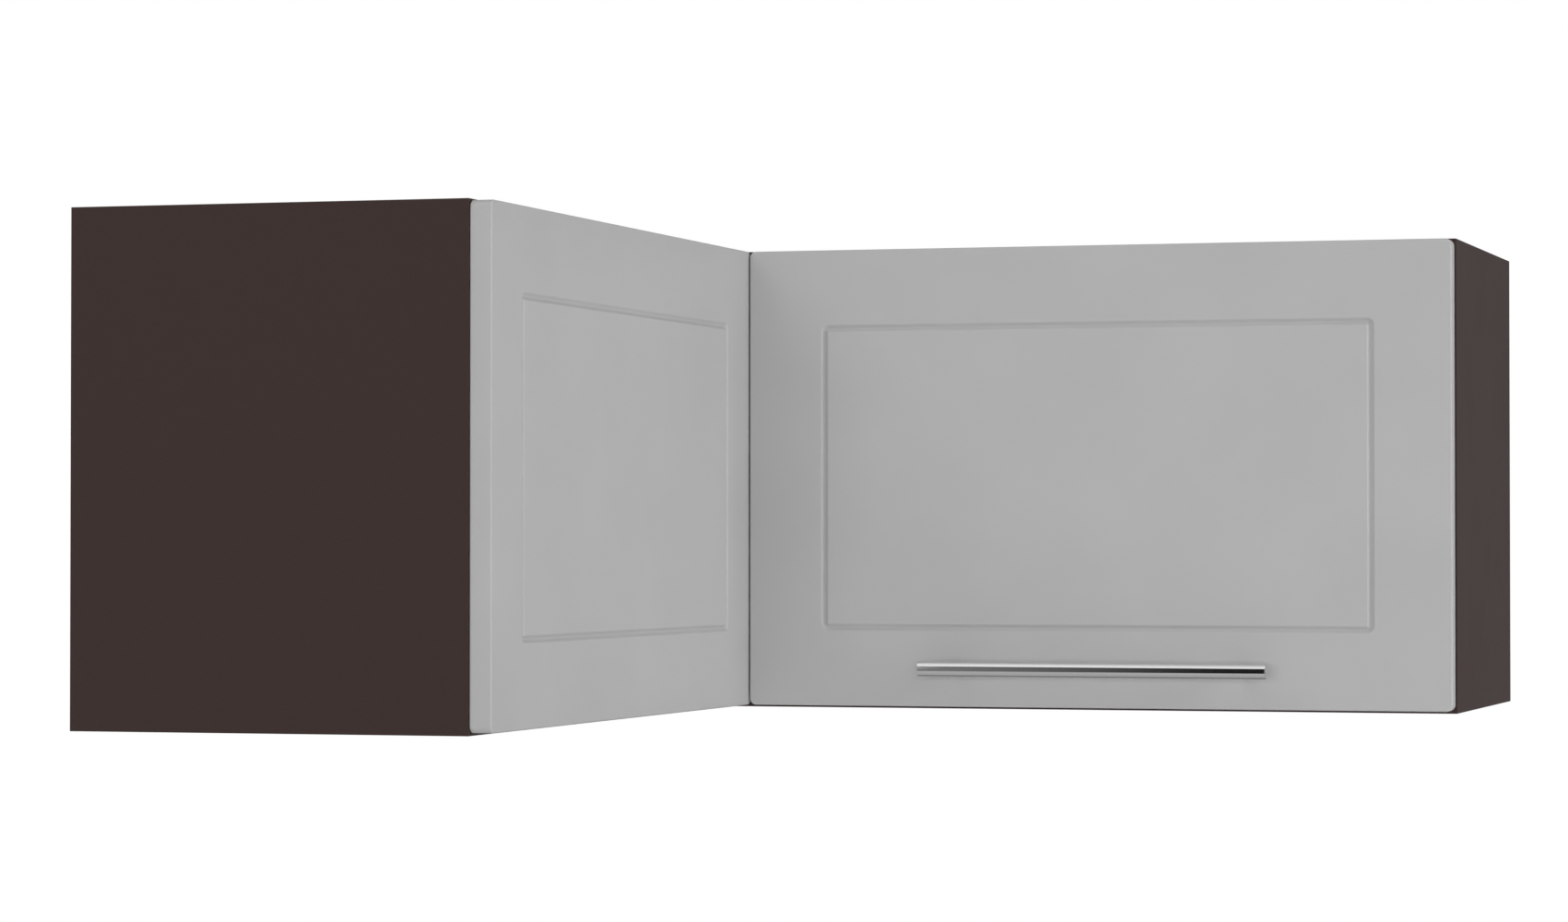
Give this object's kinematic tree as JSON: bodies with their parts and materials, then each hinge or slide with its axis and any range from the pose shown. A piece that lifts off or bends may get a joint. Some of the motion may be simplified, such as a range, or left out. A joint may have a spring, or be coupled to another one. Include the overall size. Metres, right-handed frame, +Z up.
{
  "type": "corner wall cabinet",
  "caption": "L-shaped corner wall cabinet in dark board with light grey framed fronts: a fixed front on the left wing and a lift-up door with a bar handle on the right wing.",
  "frame": {"origin": "the room's corner, where the two walls meet, at the height of the cabinet's underside", "axes": "+X runs along the back wall to the right end, -Y runs along the left wall into the room, +Z is up"},
  "size_m": [0.864, 0.888, 0.36],
  "materials": {
    "carcass_board": "dark grey-brown melamine-faced chipboard, fine matt grain",
    "front_foil": "light grey satin foil on fibreboard",
    "hardboard": "painted hardboard",
    "beech": "fluted beech dowel",
    "zinc_fitting": "die-cast zinc",
    "plated_steel": "bright zinc-plated steel",
    "nickel_plate": "nickel-plated steel",
    "satin_handle": "satin nickel-plated steel tube",
    "grey_plastic": "light grey moulded housing",
    "white_plastic": "white moulded housing",
    "clear_bumper": "soft translucent button"
  },
  "bodies": {
    "carcass": {"left_end_panel": "carcass_board", "right_end_panel": "carcass_board", "top_board": "carcass_board", "bottom_board": "carcass_board", "back_panel_left": "hardboard", "back_panel_right": "hardboard", "rear_stile_left": "carcass_board", "rear_stile_right": "carcass_board", "corner_stile_left": "carcass_board", "corner_stile_right": "carcass_board", "cam_locks": "zinc_fitting", "cam_bolts": "zinc_fitting", "dowels": "beech", "left_front": "front_foil", "front_brackets": "plated_steel", "front_bracket_screws": "plated_steel", "front_screws": "plated_steel", "door_bumpers": "clear_bumper", "hanger_housing_left": "white_plastic", "hanger_housing_right": "white_plastic", "hanger_hook_left": "plated_steel", "hanger_hook_right": "plated_steel", "hanger_screws": "plated_steel", "wall_plate_left": "plated_steel", "wall_plate_right": "plated_steel", "stay_base": "plated_steel", "stay_cover": "grey_plastic", "stay_pivot_bolt": "plated_steel", "stay_screws": "plated_steel", "hinge_arm_left": "nickel_plate", "hinge_arm_right": "nickel_plate", "hinge_arm_pins": "nickel_plate", "hinge_plate_left": "nickel_plate", "hinge_plate_right": "nickel_plate", "hinge_plate_screws": "plated_steel"},
    "door": {"door_panel": "front_foil", "handle_bar": "satin_handle", "handle_post_left": "satin_handle", "handle_post_right": "satin_handle", "handle_screws": "plated_steel", "hinge_cup_left": "nickel_plate", "hinge_cup_right": "nickel_plate", "hinge_cup_pins": "nickel_plate", "hinge_cup_screws": "plated_steel", "stay_bracket": "plated_steel", "stay_bracket_pin": "plated_steel", "stay_bracket_screws": "plated_steel"},
    "hinge_links": {"hinge_link_left": "nickel_plate", "hinge_link_right": "nickel_plate"},
    "stay_lever_body": {"stay_lever": "plated_steel", "stay_joint_pin": "plated_steel"},
    "stay_coupler_body": {"stay_coupler": "plated_steel"}
  },
  "joints": [
    {"name": "door_lift", "type": "hinge", "parent": "carcass", "child": "door", "pos_m": [0.586, -0.3085, 0.35225], "axis": [-1, 0, 0], "range_deg": [0, 85]},
    {"name": "link_turn", "type": "hinge", "parent": "carcass", "child": "hinge_links", "pos_m": [0.586, -0.29772, 0.32859], "axis": [-1, 0, 0], "range_deg": [-37.34, 0]},
    {"name": "lever_turn", "type": "hinge", "parent": "carcass", "child": "stay_lever_body", "pos_m": [0.8272, -0.2085, 0.31025], "axis": [-1, 0, 0], "range_deg": [0, 85]},
    {"name": "coupler_turn", "type": "hinge", "parent": "stay_lever_body", "child": "stay_coupler_body", "pos_m": [0.8239, -0.178, 0.254], "axis": [-1, 0, 0], "range_deg": [-85, 0]}
  ],
  "couplings": [
    {"joint": "link_turn", "follows": "door_lift", "ratio": -0.43926},
    {"joint": "lever_turn", "follows": "door_lift", "ratio": 1},
    {"joint": "coupler_turn", "follows": "door_lift", "ratio": -1}
  ]
}
